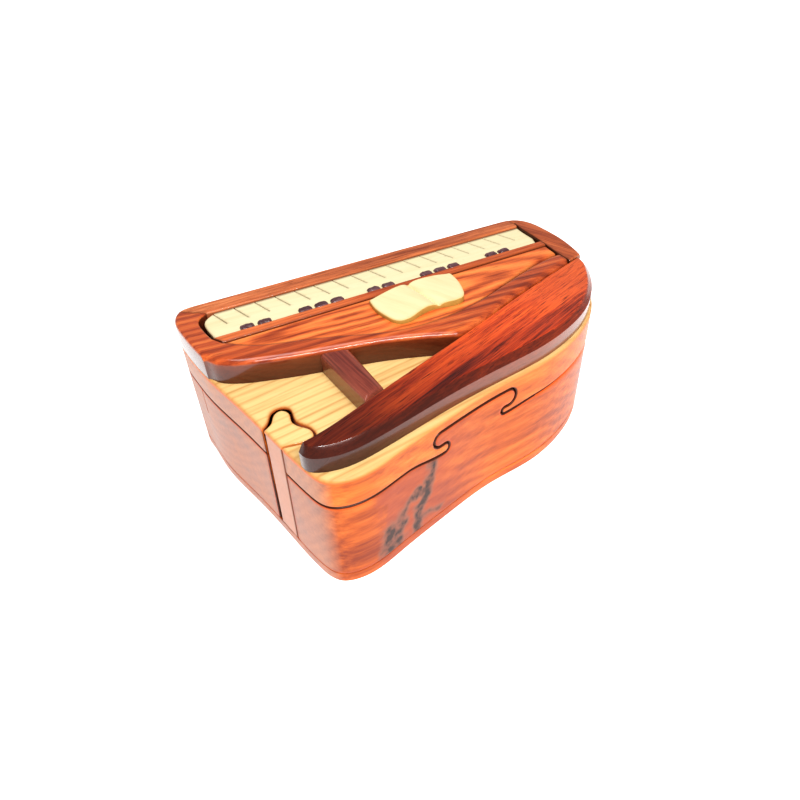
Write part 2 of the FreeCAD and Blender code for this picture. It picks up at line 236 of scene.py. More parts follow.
class Sheet:
    """A closed 2D loop filled with triangles that get finer along its eased edges.

    runs: list of (points, inset, drop, joint_and_shade, bevel): each stretch of the loop with the
    width and the depth of its roundover, how dark its joint is painted (the joint line itself plus
    painted shade in the groove), and 1 if it is a flat bevel.
    marks: segments cut into the surface, as (starts, ends), dark like a joint."""

    def __init__(self, runs, grid=GRID, extra=(), marks=None):
        runs = [tuple(run) + (0.0, 0)[len(run) - 3:] for run in runs]
        loop, owner = [], []
        for k, (pts, inset, drop, joint_and_shade, bevel) in enumerate(runs):
            pts = np.array(pts, float)
            if loop and np.hypot(*(loop[-1] - pts[0])) < SAME_POINT:
                pts = pts[1:]
            for p in pts:
                loop.append(p)
                owner.append(k)
        if np.hypot(*(loop[-1] - loop[0])) < SAME_POINT:
            loop.pop()
            owner.pop()
        loop = np.array(loop)
        x, y = loop.T
        if (x * np.roll(y, -1) - np.roll(x, -1) * y).sum() < 0:
            loop, owner = loop[::-1].copy(), owner[::-1]
        owner = np.array(owner)
        nxt = np.roll(loop, -1, 0)
        # each stretch keeps its own segments, to measure distances from
        self.edges = []
        for pts, inset, drop, joint_and_shade, bevel in runs:
            pts = np.array(pts, float)
            self.edges.append((pts[:-1], pts[1:], inset, drop, joint_and_shade, bevel))
        away = nxt - np.roll(loop, 1, 0)
        away /= np.maximum(np.linalg.norm(away, axis=1), 1e-9)[:, None]
        inward = np.stack([-away[:, 1], away[:, 0]], 1)
        cloud = []
        for k, (pts, inset, drop, joint_and_shade, bevel) in enumerate(runs):
            wide = width_at(inset, pts).max()
            mine = owner == k
            for share in BEVEL_STEPS if bevel else ROUND_STEPS:
                ring = loop[mine] + inward[mine] * wide * share
                ring = ring[inside(ring, loop)]
                if len(ring):
                    d = to_segments(ring, loop, nxt)
                    cloud.append(ring[d > 0.9 * wide * share])
        lo, hi = loop.min(0), loop.max(0)
        rows = np.arange(lo[1], hi[1], grid * 0.866)
        hexes = [(gx + (grid / 2 if r % 2 else 0), gy) for r, gy in enumerate(rows)
                 for gx in np.arange(lo[0], hi[0], grid)]
        hexes = np.array(hexes) if hexes else np.zeros((0, 2))
        hexes = hexes[inside(hexes, loop)]
        keep = np.ones(len(hexes), bool)
        for a, b, inset, *_ in self.edges:
            wide = width_at(inset, a).max()
            keep &= to_segments(hexes, a, b) > wide + 0.35 * grid
        cloud.append(hexes[keep])
        if len(extra):
            extra = np.array(extra, float)
            cloud.append(extra[inside(extra, loop)])
        cloud = np.concatenate([c for c in cloud if len(c)]) if any(map(len, cloud)) else \
            np.zeros((0, 2))
        points = np.concatenate([loop, cloud])
        n = len(loop)
        ring = [(i, (i + 1) % n) for i in range(n)]
        verts, _, faces, orig, _, _ = delaunay_2d_cdt(
            [Vector(p) for p in points], ring, [], 1, 1e-5)
        self.v = np.array([tuple(v) for v in verts])
        self.f = [tuple(f) for f in faces]
        home = {}
        for new, olds in enumerate(orig):
            for old in olds:
                home[old] = new
        rim = []
        for i in range(n):
            j = home.get(i)
            if j is not None and (not rim or rim[-1] != j):
                rim.append(j)
        if rim[0] == rim[-1]:
            rim.pop()
        self.rim = rim
        # how far each point drops below the flat, and how near it is to an edge
        self.drop = np.zeros(len(self.v))
        self.edge = np.zeros(len(self.v))
        self.joint_and_shade = np.zeros(len(self.v))
        # saw marks are painted dark: the cut line itself plus painted shade inside the cut
        if marks:
            d = to_segments(self.v, *marks)
            self.joint_and_shade = 0.7 * np.exp(-(d / CUT_SPREAD)**2)
            self.drop = CUT_DEPTH * np.clip(1 - d / CUT_HALF, 0, 1)
        for a, b, inset, drop, joint_and_shade, bevel in self.edges:
            d = to_segments(self.v, a, b)
            wide, deep = width_at(inset, self.v), width_at(drop, self.v)
            k = np.clip(1 - d / wide, 0, 1)
            if bevel:
                flat = 1 - d / wide
                fall = 0.5 * (flat + np.sqrt(flat * flat + BEVEL_SOFT**2))
                fall = fall * np.clip(1.6 - d / wide, 0, 1)
            else:
                fall = 1 - np.sqrt(np.maximum(1 - k * k, 0))
            self.drop = np.maximum(self.drop, deep * np.minimum(fall, 1))
            self.joint_and_shade = np.maximum(self.joint_and_shade, joint_and_shade * np.exp(-(d / JOINT_SHADE_SPREAD)**2))
            self.edge = np.maximum(self.edge, np.clip(1 - d / (1.4 * wide + 0.25), 0, 1))


def piece(name, node, body, parts, sharp=38, stain=None, under=0.0):
    """One closed mesh made of sheets: parts are (sheet, upper, lower) with two placements.

    under: the share of the edge wear that the lower placement shows."""
    verts, faces, edge, joint_and_shade, knots = [], [], [], [], []
    for sheet, upper, lower in parts:
        base = len(verts)
        n = len(sheet.v)
        a = upper(sheet.v, sheet.drop)
        b = lower(sheet.v, sheet.drop)
        for p in np.concatenate([a, b]):
            verts.append(((p[0] - DRAWN_CENTRE[0]) * MM, (p[1] - DRAWN_CENTRE[1]) * MM, p[2] * MM))
        edge += list(sheet.edge) + list(under * sheet.edge)
        joint_and_shade += list(sheet.joint_and_shade) * 2
        knots += list(stain(a)) + [0.0] * n if stain else []
        for f in sheet.f:
            faces.append(tuple(base + i for i in f))
            faces.append(tuple(base + n + i for i in reversed(f)))
        rim = sheet.rim
        for i, j in zip(rim, rim[1:] + rim[:1]):
            faces.append((base + i, base + n + i, base + n + j, base + j))
    mesh = bpy.data.meshes.new(name)
    mesh.from_pydata(verts, [], faces)
    mesh.validate()
    for label, values in (("arris", edge), ("joint_and_shade", joint_and_shade), ("knot", knots)):
        if values:
            attr = mesh.attributes.new(label, "FLOAT", "POINT")
            attr.data.foreach_set("value", np.array(values, dtype=np.float32))
    mesh.shade_smooth()
    mesh.set_sharp_from_angle(angle=math.radians(sharp))
    obj = added(name, mesh)
    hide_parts(node)
    slot = SLOT_OF[node]
    obj.data.materials.append(MATERIAL[slot])
    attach(obj, body)
    return obj


def added(name, data):
    """A new object in the scene."""
    obj = bpy.data.objects.new(name, data)
    scene.collection.objects.link(obj)
    return obj


def waves(v, height, size, seed):
    """Low unevenness left by hand sanding."""
    return np.array([height * noise.noise(Vector((p[0] / size, p[1] / size, seed))) for p in v])


WORN_FOOT = 0.6  # share of the edge wear at a piece's foot
SANDING_WAVE = 14  # mm


def slab(name, node, body, runs, z0, z1, grid=GRID, extra=(), shape=None, sand=0.12, foot=0.0,
         sharp=38, marks=None, wear=1.0):
    """A flat piece standing on its plan loop, its top eased along the edges."""
    sheet = Sheet(runs, grid, extra, marks)
    sheet.edge *= wear
    seed = sum(map(ord, name)) * 0.37

    def upper(v, drop):
        fade = np.clip(1 - sheet.edge, 0, 1)
        z = z1 - drop + (waves(v, sand, SANDING_WAVE, seed) - sand * 0.6) * fade
        if shape is not None:
            z = shape(v, z)
        return np.column_stack([v, np.maximum(z, z0 + 0.1)])

    def lower(v, drop):
        return np.column_stack([v, np.full(len(v), z0) + foot * drop])

    return piece(name, node, body, [(sheet, upper, lower)], sharp, under=WORN_FOOT)


# ---------------------------------------------------------------- materials
def node(tree, kind, **values):
    """A shader node. Each value sets or links the input of its name, or sets the property."""
    n = tree.nodes.new(kind)
    for key, value in values.items():
        if key not in n.inputs:
            setattr(n, key, value)
        elif hasattr(value, "links"):
            tree.links.new(value, n.inputs[key])
        else:
            n.inputs[key].default_value = value
    return n


def ramp(tree, factor, *stops):
    """The colour at a factor, through (place, colour or grey) stops."""
    n = tree.nodes.new("ShaderNodeValToRGB")
    tree.links.new(factor, n.inputs[0])
    e = n.color_ramp.elements
    while len(e) < len(stops):
        e.new(0.5)
    for item, (at, col) in zip(e, stops):
        item.position = at
        item.color = (*col, 1) if isinstance(col, tuple) else (col, col, col, 1)
    return n.outputs[0]


def mix(tree, a, b, factor, kind="MIX"):
    """A mix of two colours; each value is a socket, a number or a colour."""
    n = tree.nodes.new("ShaderNodeMix")
    n.data_type = "RGBA"
    n.blend_type = kind
    for socket, value in ((n.inputs[0], factor), (n.inputs[6], a), (n.inputs[7], b)):
        if hasattr(value, "links"):
            tree.links.new(value, socket)
        elif isinstance(value, (int, float)):
            socket.default_value = value
        else:
            socket.default_value = (*value, 1)
    return n.outputs[2]


def maths(tree, kind, a, b=0.0, clamp=False):
    """A sum of two values, each a socket or a number."""
    n = tree.nodes.new("ShaderNodeMath")
    n.operation = kind
    n.use_clamp = clamp
    for socket, value in zip(n.inputs, (a, b)):
        if hasattr(value, "links"):
            tree.links.new(value, socket)
        else:
            socket.default_value = value
    return n.outputs[0]


def times(tree, a, b, clamp=False):
    return maths(tree, "MULTIPLY", a, b, clamp)


def stored(tree, label):
    """One of the values that piece() writes on every vertex."""
    return node(tree, "ShaderNodeAttribute", attribute_name=label).outputs["Fac"]


def parts_of(tree, vector):
    """The X, Y and Z of a vector, by name."""
    return node(tree, "ShaderNodeSeparateXYZ", Vector=vector).outputs


def facing(tree):
    """The X, Y and Z of the direction that the surface faces."""
    return parts_of(tree, node(tree, "ShaderNodeNewGeometry").outputs["Normal"])


# colour of joints and saw lines: the dark joint line itself plus painted shade in the groove
JOINT_AND_GROOVE_SHADE = (0.070, 0.018, 0.007)
# painted shade on the open lid's bevel facet
BEVEL_SHADE = (0.055, 0.013, 0.008)
OILED_SPECULAR, COAT_ROUGH, RELIEF = 0.22, 0.07, 0.0002


def wood(name, light, mid, dark, turn=(0, 0, 0), fibre=1.0, rings=0.0, ring_scale=0.12,
         heart=(0, 0, -60), slope=0.0, lines=0.0, line_gap=3.0, pores=0.3, blotch=0.5,
         worn=None, worn_by=0.5, side=None, side_shade_and_sheen_by=0.8, gloss=0.3, bump=0.25, coat=0.15,
         contrast=1.0, end=None, end_grain_and_sheen_by=0.7, extra=None):
    """Oiled wood, by name: long fibres, rings about a heart, pores, blotches, worn arrises."""
    m = bpy.data.materials.new(name)
    m.use_nodes = True
    t = m.node_tree
    shader = t.nodes["Principled BSDF"]
    place = node(t, "ShaderNodeTexCoord").outputs["Object"]
    grain = node(t, "ShaderNodeMapping", Vector=place, Rotation=turn,
                 Scale=(1 / MM, 1 / MM, 1 / MM)).outputs[0]
    seed = sum(map(ord, name)) % 97

    def stretched(scale, shift=0.0, detail=5.0, rough=0.6, distortion=0.0):
        s = node(t, "ShaderNodeMapping", Vector=grain, Scale=scale,
                 Location=(seed + shift, seed * 0.7, shift))
        n = node(t, "ShaderNodeTexNoise", Vector=s.outputs[0], Scale=1.0, Detail=detail,
                 Roughness=rough, Distortion=distortion)
        return n.outputs["Fac"]

    fibres = stretched((0.035, 0.9 * fibre, 0.9 * fibre), 1.0, 6.0, 0.65)
    broad = stretched((0.012, 0.09, 0.09), 5.0, 3.0, 0.5, 0.3)
    pore = stretched((0.14, 3.2, 3.2), 9.0, 2.0, 0.5)
    tone = maths(t, "ADD", times(t, fibres, 0.6), times(t, broad, blotch))
    if rings:
        s = node(t, "ShaderNodeMapping", Vector=grain, Rotation=(0, slope, 0),
                 Location=-(Matrix.Rotation(slope, 3, "Y") @ Vector(heart)))
        w = node(t, "ShaderNodeTexWave", wave_type="RINGS", rings_direction="X",
                 Vector=s.outputs[0], Scale=ring_scale, Distortion=3.5, Detail=4.0)
        w.inputs["Detail Scale"].default_value = 0.6
        swing = maths(t, "SUBTRACT", w.outputs["Fac"], 0.5)
        tone = maths(t, "ADD", tone, times(t, swing, rings))
    if lines:
        s = node(t, "ShaderNodeMapping", Vector=grain, Scale=(0.25, 1, 1))
        w = node(t, "ShaderNodeTexWave", wave_type="BANDS", bands_direction="Y",
                 Vector=s.outputs[0], Scale=math.pi / (10 * line_gap), Distortion=4.5, Detail=3.0)
        w.inputs["Detail Scale"].default_value = 0.5
        thin = maths(t, "POWER", w.outputs["Fac"], 5.0)
        tone = maths(t, "SUBTRACT", tone, times(t, thin, lines))
    swing = maths(t, "SUBTRACT", tone, 0.3 + 0.5 * blotch)
    tone = maths(t, "ADD", times(t, swing, contrast), 0.5, True)
    colour = ramp(t, tone, (0.12, dark), (0.5, mid), (0.85, light))
    if pores:
        fleck = ramp(t, pore, (0.56, 0), (0.7, 1))
        colour = mix(t, colour, tuple(c * 0.45 for c in dark), times(t, fleck, pores))
    # steep walls take the side colour by the way they face: partly their own darker grain, partly
    # painted shade on walls turned from the light; on the open lid the side colour is a painted
    # purple-grey sheen
    if side:
        wall = ramp(t, facing(t)["Z"], (0.08, 1), (0.42, 0))
        side_grain_shade_and_sheen = mix(t, tuple(c * 0.55 for c in side), side, tone)
        colour = mix(t, colour, side_grain_shade_and_sheen, times(t, wall, side_shade_and_sheen_by))
    # faces across the grain, the left and right walls, take a pale pink colour: end grain, painted
    # paler as a sheen of light on these walls
    if end:
        end_and_sheen_mask = ramp(t, maths(t, "ABSOLUTE", facing(t)["X"]), (0.55, 0), (0.93, 1))
        end_grain_and_sheen = mix(t, tuple(c * 0.8 for c in end), end, tone)
        colour = mix(t, colour, end_grain_and_sheen, times(t, end_and_sheen_mask, end_grain_and_sheen_by))
    if worn:
        worn_mask = times(t, maths(t, "POWER", stored(t, "arris"), 2.0), worn_by, True)
        patchy = maths(t, "ADD", fibres, 0.4)
        colour = mix(t, colour, worn, times(t, worn_mask, patchy, True))
    if extra:
        colour = extra(t, grain, colour)
    # joints, grooves and saw lines: their own dark line plus painted shade in the groove
    colour = mix(t, colour, JOINT_AND_GROOVE_SHADE, times(t, stored(t, "joint_and_shade"), 1.25, True))
    t.links.new(colour, shader.inputs["Base Color"])
    sheen = maths(t, "ADD", times(t, broad, 0.25), gloss - 0.1)
    t.links.new(sheen, shader.inputs["Roughness"])
    shader.inputs["Coat Weight"].default_value = coat
    shader.inputs["Coat Roughness"].default_value = COAT_ROUGH
    shader.inputs["Specular IOR Level"].default_value = OILED_SPECULAR
    relief = maths(t, "ADD", times(t, fibres, 0.7), times(t, pore, -0.5))
    b = node(t, "ShaderNodeBump", Strength=bump, Distance=RELIEF, Height=relief)
    t.links.new(b.outputs[0], shader.inputs["Normal"])
    return name, m


def height_band(t, place, colour, other, at, soft):
    """Other colour below a height, in mm."""
    k = maths(t, "DIVIDE", maths(t, "SUBTRACT", at, parts_of(t, place)["Z"]), soft, True)
    return mix(t, colour, other, k)


ORANGE = dict(light=(0.67, 0.170, 0.024), mid=(0.49, 0.094, 0.010), dark=(0.25, 0.036, 0.006))
LID_ORANGE = dict(light=(0.80, 0.235, 0.038), mid=(0.66, 0.155, 0.018), dark=(0.40, 0.070, 0.010))
WALL_GRAIN = dict(rings=0.12, ring_scale=0.09, heart=(0, 30, 80), contrast=1.6)
RED = dict(light=(0.74, 0.22, 0.075), mid=(0.50, 0.115, 0.038), dark=(0.18, 0.028, 0.012))
# steep sides of rail, cheek and slip: darker grain plus painted shade
SIDE_GRAIN_AND_SHADE = (0.085, 0.030, 0.020)


def maple_side(t, place, colour):
    """The maple skin is thin: below it the lid's side is orange."""
    return height_band(t, place, colour, (0.72, 0.17, 0.04), FACE_TOP - 0.55, 0.35)


def stained(t, place, colour):
    """A burl on the front: grey-brown streaks in a redder patch, from painted points."""
    split = parts_of(t, place)
    wobble = node(t, "ShaderNodeTexNoise", Vector=place, Scale=0.16, Detail=4.0, Roughness=0.6)
    shift = times(t, maths(t, "SUBTRACT", wobble.outputs["Fac"], 0.5), 14.0)
    along = maths(t, "ADD", split["X"], shift)
    patch = ramp(t, maths(t, "DIVIDE", maths(t, "ADD", along, 51.0), 60.0, True),
                 (0.0, 0), (0.04, 1), (0.42, 0.8), (0.8, 0))
    is_front = ramp(t, maths(t, "DIVIDE", maths(t, "ADD", split["Y"], 60.0), 120.0),
                    (0.45, 1), (0.5, 0))
    colour = mix(t, colour, (0.36, 0.064, 0.026), times(t, times(t, patch, is_front), 0.66))
    fray = node(t, "ShaderNodeTexNoise", Vector=place, Scale=0.32, Detail=4.0, Roughness=0.6)
    k = times(t, stored(t, "knot"), times(t, fray.outputs["Fac"], 2.05), True)
    smoke = ramp(t, k, (0.10, 0), (0.42, 0.62), (0.85, 1))
    grey = ramp(t, k, (0.35, (0.22, 0.105, 0.07)), (0.85, (0.04, 0.017, 0.012)))
    return mix(t, colour, grey, smoke)


def lid_tone_highlight_and_shade(t, place, colour):
    """The open lid's wood is nearly black at the tip and turns orange-red to the right; the pale
    lift at the right end is a painted highlight, and the bevel facet is painted shade.
    """
    k = maths(t, "DIVIDE", maths(t, "ADD", parts_of(t, place)["X"], 62.0), 130.0, True)
    tone_and_highlight = ramp(t, k, (0.0, (0.36, 0.32, 0.28)), (0.3, (1.1, 0.85, 0.55)),
                (0.6, (1.6, 1.35, 0.9)), (1.0, (1.3, 1.35, 1.3)))
    colour = mix(t, colour, tone_and_highlight, 1.0, "MULTIPLY")
    # the bevel facet, picked by the way it faces, is painted dark as shade
    bevel = ramp(t, facing(t)["Z"], (0.22, 0), (0.38, 1), (0.62, 1), (0.84, 0))
    return mix(t, colour, BEVEL_SHADE, times(t, bevel, 0.75))


MATERIAL = dict([
    # the end colours of box, lid and key are end grain plus a painted sheen on the left and right
    # walls
    wood("box_wood", **ORANGE, **WALL_GRAIN, end=(0.45, 0.235, 0.165),
         worn=(0.90, 0.13, 0.015), worn_by=2.4, gloss=0.36, pores=0.15, blotch=0.9,
         coat=0.1, extra=stained),
    wood("lid_wood", **LID_ORANGE, **WALL_GRAIN, end=(0.47, 0.255, 0.175),
         worn=(0.88, 0.17, 0.02), worn_by=0.9, gloss=0.36, pores=0.12, blotch=0.8, coat=0.1),
    wood("key_wood", (0.78, 0.28, 0.14), (0.64, 0.19, 0.08), (0.42, 0.10, 0.035),
         end=(0.60, 0.33, 0.24), gloss=0.38, pores=0.4, coat=0.1),
    wood("maple_skin", (0.91, 0.67, 0.32), (0.87, 0.59, 0.25), (0.60, 0.31, 0.10),
         turn=(0, 0, -0.12), fibre=0.7, lines=0.15, line_gap=3.7, pores=0.05,
         worn=(0.62, 0.22, 0.05), worn_by=1.0, gloss=0.40, bump=0.12,
         blotch=0.6, contrast=1.3, extra=maple_side),
    wood("rail_wood", (0.86, 0.32, 0.13), (0.64, 0.18, 0.065), (0.26, 0.05, 0.018),
         pores=0.8, side=SIDE_GRAIN_AND_SHADE, worn=(0.62, 0.20, 0.08), contrast=2.2),
    wood("cheek_wood", **RED, turn=(0, 0, 1.3), pores=0.6, contrast=2.0,
         side=SIDE_GRAIN_AND_SHADE, worn=(0.60, 0.18, 0.06)),
    wood("band_wood", (0.80, 0.20, 0.045), (0.56, 0.095, 0.020), (0.20, 0.024, 0.007),
         turn=(0, 0, 0.1), rings=0.18, ring_scale=0.075, heart=(-30, -14, 50),
         slope=0.1, pores=0.5, contrast=1.8, side=(0.040, 0.011, 0.006), side_shade_and_sheen_by=1.0,
         worn=(0.50, 0.10, 0.03), worn_by=0.3, gloss=0.24, coat=0.8),
    wood("desk_wood", (0.94, 0.30, 0.075), (0.80, 0.175, 0.042), (0.30, 0.042, 0.013),
         turn=(0, 0, 0.06), rings=0.30, ring_scale=0.075, heart=(-42, 12, 50),
         slope=0.14, pores=0.5, contrast=1.7, gloss=0.28,
         worn=(0.30, 0.04, 0.012), worn_by=0.6, coat=0.3),
    wood("slip_wood", (0.82, 0.24, 0.08), (0.62, 0.14, 0.04), (0.28, 0.04, 0.014),
         pores=0.5, contrast=2.0, side=SIDE_GRAIN_AND_SHADE, worn=(0.5, 0.12, 0.04)),
    wood("bed_wood", (0.16, 0.06, 0.03), (0.10, 0.035, 0.018), (0.05, 0.02, 0.01)),
    wood("white_key_wood", (0.88, 0.80, 0.54), (0.84, 0.74, 0.46),
         (0.70, 0.55, 0.28), pores=0.06, fibre=0.6, worn=(0.30, 0.12, 0.04),
         worn_by=0.45, gloss=0.44, bump=0.1, blotch=0.3, side=(0.35, 0.16, 0.06), side_shade_and_sheen_by=0.7),
    wood("black_key_wood", (0.46, 0.31, 0.32), (0.19, 0.09, 0.10),
         (0.06, 0.024, 0.028), fibre=2.8, pores=0.4, gloss=0.3, coat=0.4, bump=0.6, contrast=3.0),
    wood("book_wood", (0.90, 0.79, 0.50), (0.85, 0.72, 0.42), (0.68, 0.50, 0.22),
         turn=(0, 0, 1.2), fibre=0.5, pores=0.06, side=(0.52, 0.30, 0.06), side_shade_and_sheen_by=1.0,
         worn=(0.66, 0.42, 0.12), worn_by=0.8, gloss=0.44, bump=0.12, blotch=0.3),
    wood("prop_wood", (0.36, 0.080, 0.045), (0.20, 0.035, 0.022), (0.06, 0.010, 0.008),
         turn=(0, 0, 1.5), pores=0.5, side=(0.15, 0.045, 0.02),
         worn=(0.50, 0.17, 0.10), worn_by=0.35, fibre=1.4, coat=0.8, contrast=2.2),
    # the open lid's steep sides take a purple-grey that is a painted sheen, and its bevel is
    # painted shade
    wood("piano_lid_wood", (0.56, 0.095, 0.024), (0.34, 0.042, 0.013),
         (0.075, 0.009, 0.007), turn=(0, 0, -0.33), fibre=1.5, pores=0.9,
         blotch=0.7, contrast=2.6, side=(0.17, 0.085, 0.080), side_shade_and_sheen_by=0.95,
         worn=(0.30, 0.05, 0.02), worn_by=0.3, gloss=0.25, coat=0.55, extra=lid_tone_highlight_and_shade),
])

for name, obj in frame["nodes"].items():
    obj.data.materials.clear()
    obj.data.materials.append(MATERIAL[SLOT_OF[name]])

# ---------------------------------------------------------------- walls of the box
side = Curve(SIDE, ((-1, 0), (-1, 0)))
foot = Curve(FOOT, ((-1, 0), (-1, 0)), SIDE)
cavity = Curve(CAVITY, ((-1, 0), (-1, 0)))
WALL = side.length
LOOP = WALL + SIDE[-1][0] - SIDE[0][0]


def around(t, z):
    """Plan point on the box wall at parameter t (round the whole box) and height z."""
    t = np.mod(t, LOOP)
    z = np.broadcast_to(z, t.shape) / FACE_TOP
    on_side = np.minimum(t, WALL)
    head, toe = side.at(on_side), foot.at(on_side)
    back = np.maximum(t - WALL, 0)[:, None] / (LOOP - WALL)
    head = head + back * (np.array(SIDE[0]) - SIDE[-1])
    toe = toe + back * (np.array(FOOT[0]) - FOOT[-1])
    return toe + (head - toe) * z[:, None]


def outward(t, z):
    """The plan direction straight out of the wall."""
    ahead = around(t + 0.3, z) - around(t - 0.3, z)
    n = np.stack([ahead[:, 1], -ahead[:, 0]], 1)
    return n / np.linalg.norm(n, axis=1)[:, None]


WALL_SAMPLES, SAMPLE_HEIGHT = 6001, 36.0
fine = np.linspace(0, LOOP, WALL_SAMPLES)
fine_x = around(fine, SAMPLE_HEIGHT)[:, 0]
west, east = np.argmin(fine_x), np.argmax(fine_x)
front = slice(west, east + 1)
rear = np.argmax(fine > WALL)


def on_front(x):
    """The front wall's parameter at an x."""
    return np.interp(x, fine_x[front], fine[front])


def on_back(x):
    """The back wall's parameter at an x."""
    return np.interp(-np.asarray(x), -fine_x[rear:], fine[rear:])


REST = 0.06  # the lid's visual rests this far above the body's


def seam(gap):
    """The jigsaw line as (x, z) points from the left level to the right level."""
    def half(mark, grow, start, turn):
        x, z, r = mark
        r += grow
        angles = [math.radians(start + turn * k / 14) for k in range(15)]
        return np.array([(x + r * math.cos(a), z + r * math.sin(a)) for a in angles])

    left_toe = half(LEFT_TOE, -gap, -90, 180)
    left_head = half(LEFT_HEAD, gap, -90, -180)
    right_head = half(RIGHT_HEAD, gap, 90, -180)
    right_toe = half(RIGHT_TOE, -gap, 90, 180)

    def ease(a, b):
        k = np.linspace(0, 1, int(abs(b[0] - a[0]) / 0.7) + 2)
        return np.column_stack([a[0] + (b[0] - a[0]) * k,
                                a[1] + (b[1] - a[1]) * (3 * k**2 - 2 * k**3)])

    return np.concatenate([
        ease((SEAM_DIP_X, LEFT_SEAM), left_toe[0]), left_toe[1:-1],
        line(left_toe[-1], left_head[0], 0.7), left_head[1:-1],
        line(left_head[-1], right_head[0], 0.7), right_head[1:-1],
        line(right_head[-1], right_toe[0], 0.7), right_toe[1:-1],
        ease(right_toe[-1], (SEAM_RISE_X, RIGHT_SEAM))])


def seam_run(gap, start, end):
    """The seam in wall coordinates (t, z), right round the box from start to end."""
    path = seam(gap)
    ahead = np.column_stack([on_front(path[:, 0]), path[:, 1]])
    behind = np.column_stack([on_back(path[::-1, 0]), path[::-1, 1]])
    return np.concatenate([
        line((start, LEFT_SEAM), ahead[0])[:-1], ahead,
        line(ahead[-1], behind[0])[1:-1], behind,
        line(behind[-1], (end, LEFT_SEAM))[1:]])


key_curve, hole_curve = Curve(KEY), Curve(KEYHOLE)
hole_far_t, hole_far = side.meet(hole_curve, (-70.5, -18))
hole_near_t, hole_near = side.meet(hole_curve, (-69, -29.3))
key_far_t, key_far = side.meet(key_curve, (-70.5, -19.5))
key_near_t, key_near = side.meet(key_curve, (-69, -29))

START, END = hole_near_t, LOOP + hole_far_t
# the hollow's outline paired with the wall, stretch by stretch
PAIRS = [(START, cavity.cross((-90, -27), (0, -27), (-47.5, -27))),
         (float(on_front(SEAM_DIP_X)),
          cavity.cross((SEAM_DIP_X, 0), (SEAM_DIP_X, -60), (-38, -37))),
         (float(on_front(SEAM_RISE_X)),
          cavity.cross((SEAM_RISE_X, 0), (SEAM_RISE_X, -60), (20, -26))),
         (float(on_front(74)), cavity.cross((0, 9), (90, 9), (65, 9))),
         (float(on_back(60)), cavity.length)]
CAVITY_BACK = CAVITY[0][1]


def hollow(v):
    """Plan point on the hollow's side that faces the wall at (t, z)."""
    t = v[:, 0]
    wall = around(t, v[:, 1])
    knots = np.array(PAIRS)
    k = np.interp(t, knots[:, 0], knots[:, 1])
    out = cavity.at(np.clip(k, 0, cavity.length))
    hooks = (t > knots[1, 0]) & (t < knots[2, 0])
    dense = cavity.run(knots[1, 1], knots[2, 1], 0.3)
    out[hooks, 0] = wall[hooks, 0]
    out[hooks, 1] = np.interp(wall[hooks, 0], dense[:, 0], dense[:, 1])
    back = t > knots[-1, 0]
    behind = back & (wall[:, 1] > CAVITY_BACK) & (wall[:, 0] > CAVITY[0][0]) & (t < LOOP)
    out[behind, 0] = wall[behind, 0]
    out[behind, 1] = CAVITY_BACK
    rest = back & ~behind
    left_end = cavity.cross((-90, -12), (0, -12), (-49, -12))
    begin = on_back(CAVITY[0][0])
    share = np.clip((t[rest] - begin) / (END - begin), 0, 1)
    out[rest] = cavity.at(share * left_end)
    return out


def wall_solid(sheet, inner=hollow):
    """A wall's sheet as a solid, from the outside of the box to the hollow."""
    def upper(v, drop):
        p = around(v[:, 0], v[:, 1]) - outward(v[:, 0], v[:, 1]) * drop[:, None]
        return np.column_stack([p, v[:, 1]])

    def lower(v, drop):
        return np.column_stack([inner(v), v[:, 1]])

    return sheet, upper, lower


# faces out of sight: next to no easing, and few points
CRISP, COARSE, HIDDEN_GRID = 0.05, 3, 4.0


def corner_block(z0, z1):
    """The wood between the keyhole and the hollow."""
    left_end = cavity.cross((-90, -12), (0, -12), (-49, -12))
    loop = [(hole_curve.run(hole_far, hole_near, 0.6), 0.2, 0.2),
            (line(hole_curve.at(hole_near)[0], cavity.at(PAIRS[0][1])[0]), CRISP, CRISP),
            (cavity.run(PAIRS[0][1], left_end, 0.8), CRISP, CRISP),
            (line(cavity.at(left_end)[0], hole_curve.at(hole_far)[0]), CRISP, CRISP)]
    sheet = Sheet(loop, HIDDEN_GRID)
    sheet.edge[:] = 0
    return (sheet, lambda v, d: np.column_stack([v, np.full(len(v), z1)]),
            lambda v, d: np.column_stack([v, np.full(len(v), z0)]))


def ease_width(t, z):
    """The body's top edge is rounded more and more along the bend on the right."""
    x = np.interp(t, fine, fine_x)
    ahead = on_front(SEAM_RISE_X) < t < on_front(80)
    return 1.0 + (2.4 * grow(x, 8, 50) if ahead else 0.0)


# the burl on the front wall: (x, z) streaks with a width and a strength, and round pits
STREAKS = [([(-27.4, 29), (-28.5, 24), (-29.4, 18.5), (-32.9, 15), (-34.3, 9), (-35, 3)],
            2.3, 0.85),
           ([(-29.4, 18.5), (-33.5, 22), (-37, 20), (-40.2, 18), (-41.2, 13), (-43.5, 9)],
            2.2, 0.75),
           ([(-24, 8), (-28, 8.6), (-32.6, 9.6)], 1.8, 0.6),
           ([(-45, 15), (-46, 10), (-47, 6), (-43, 6.5)], 3.4, 0.75)]
PITS = [(-32.4, 21.8, 0.9), (-35, 3.4, 1.0)]


def burl(p):
    """How strongly each wall point is stained."""
    xz = p[:, [0, 2]] + np.array([[1.6 * noise.noise(Vector((q[0] * 0.3, q[2] * 0.3, s)))
                                   for s in (1.5, 7.5)] for q in p])
    out = np.zeros(len(p))
    for path, width, strength in STREAKS:
        path = np.array(path, float)
        d = to_segments(xz, path[:-1], path[1:])
        out = np.maximum(out, strength * np.exp(-(d / width)**2))
    for x, z, size in PITS:
        out = np.maximum(out, 1.3 * np.exp(-(((xz - (x, z))**2).sum(1)) / size**2))
    out[p[:, 1] > 0] = 0
    return out


